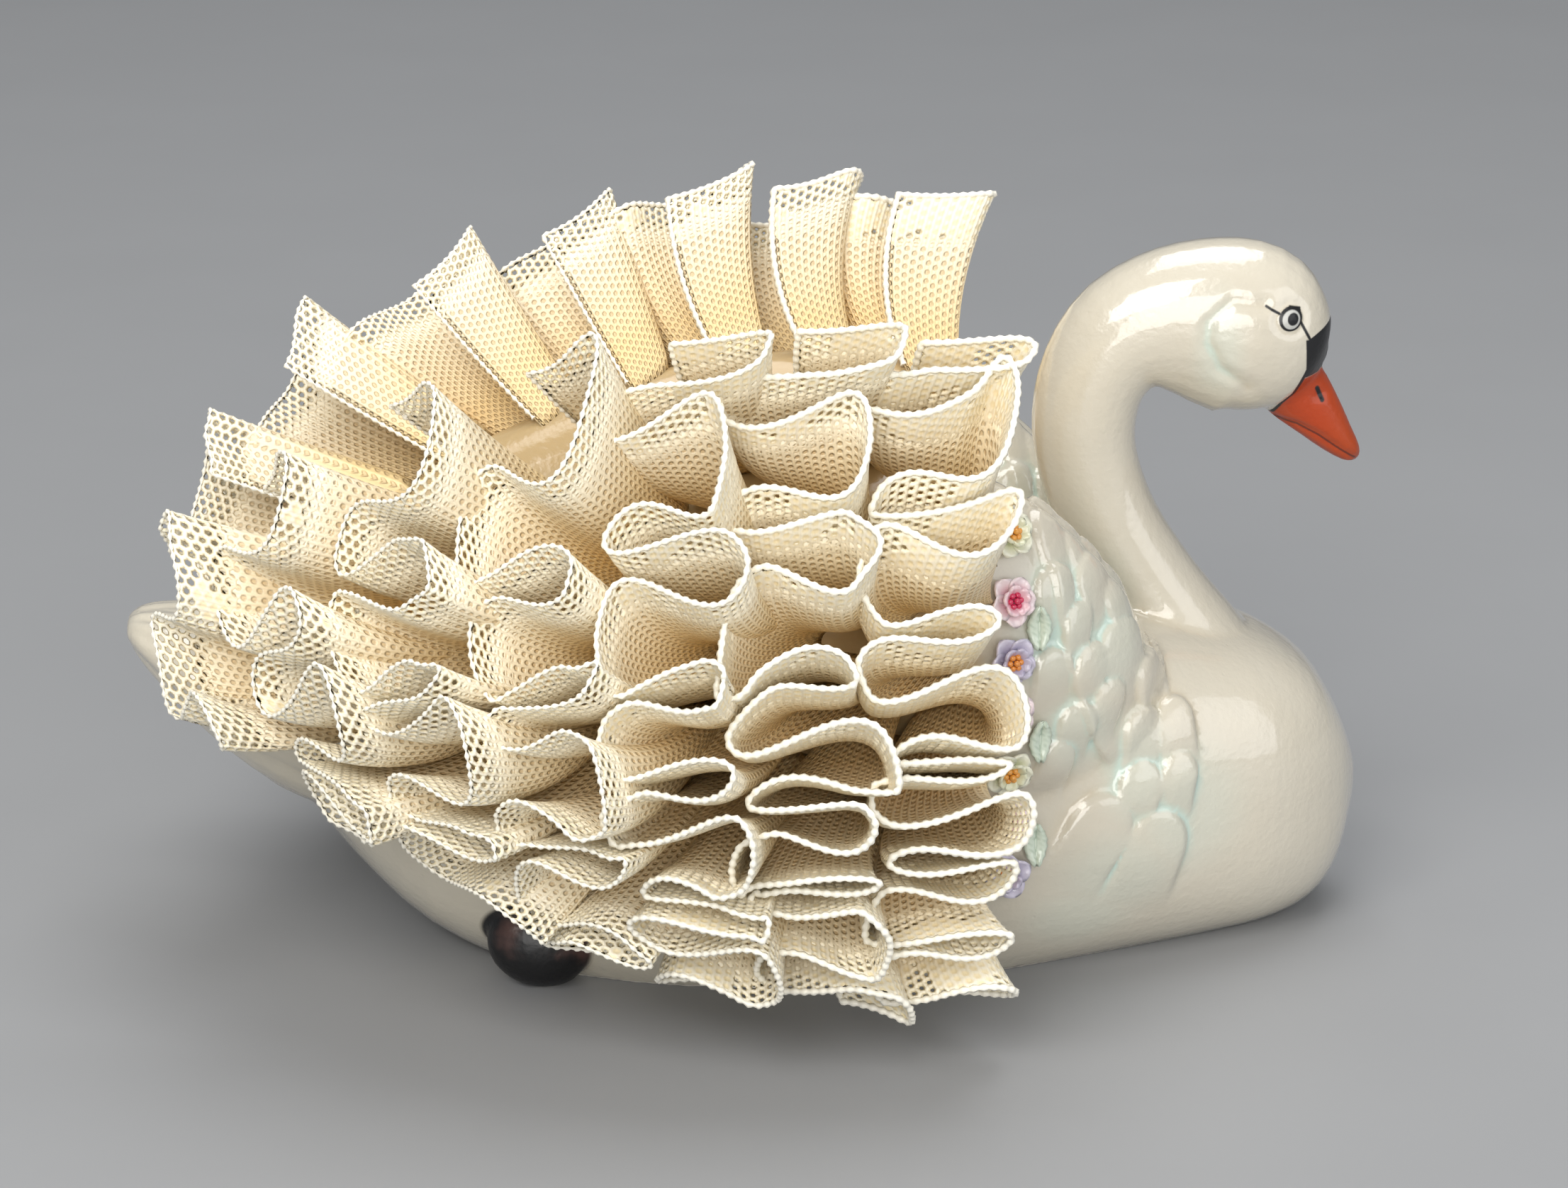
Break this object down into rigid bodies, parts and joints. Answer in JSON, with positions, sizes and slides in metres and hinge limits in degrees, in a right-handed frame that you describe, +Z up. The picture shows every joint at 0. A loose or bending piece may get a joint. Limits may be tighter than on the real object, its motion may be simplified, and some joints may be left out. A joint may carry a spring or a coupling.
{
  "type": "swan figurine",
  "caption": "Glazed porcelain swan with raised wings covered in gathered porcelain lace, small applied flowers, a painted face and beak, on a flat base.",
  "frame": {"origin": "on the flat base, below the middle of the swan's length", "axes": "+X towards the head, +Z up, the swan's right wing at -Y"},
  "size_m": [0.1997, 0.1683, 0.1148],
  "materials": {
    "porcelain": "clear gloss glaze over warm white, airbrushed pale aqua in the feathers",
    "lace": "satin cream glaze, thin net",
    "flower_lavender": "gloss",
    "flower_pink": "gloss",
    "flower_cream": "gloss",
    "leaf": "gloss"
  },
  "bodies": {
    "root": {"left_flower_1": "flower_lavender", "left_flower_2": "flower_pink", "left_flower_3": "flower_cream", "left_flower_4": "flower_pink", "left_flower_5": "flower_lavender", "left_flower_6": "flower_pink", "left_flower_7": "flower_cream", "left_frill_1": "lace", "left_frill_2": "lace", "left_frill_3": "lace", "left_frill_4": "lace", "left_frill_5": "lace", "left_frill_6": "lace", "left_frill_7": "lace", "left_leaf_1": "leaf", "left_leaf_2": "leaf", "left_leaf_3": "leaf", "right_flower_1": "flower_lavender", "right_flower_2": "flower_pink", "right_flower_3": "flower_cream", "right_flower_4": "flower_pink", "right_flower_5": "flower_lavender", "right_flower_6": "flower_pink", "right_flower_7": "flower_cream", "right_frill_1": "lace", "right_frill_2": "lace", "right_frill_3": "lace", "right_frill_4": "lace", "right_frill_5": "lace", "right_frill_6": "lace", "right_frill_7": "lace", "right_leaf_1": "leaf", "right_leaf_2": "leaf", "right_leaf_3": "leaf", "swan_body": "porcelain"}
  },
  "joints": []
}
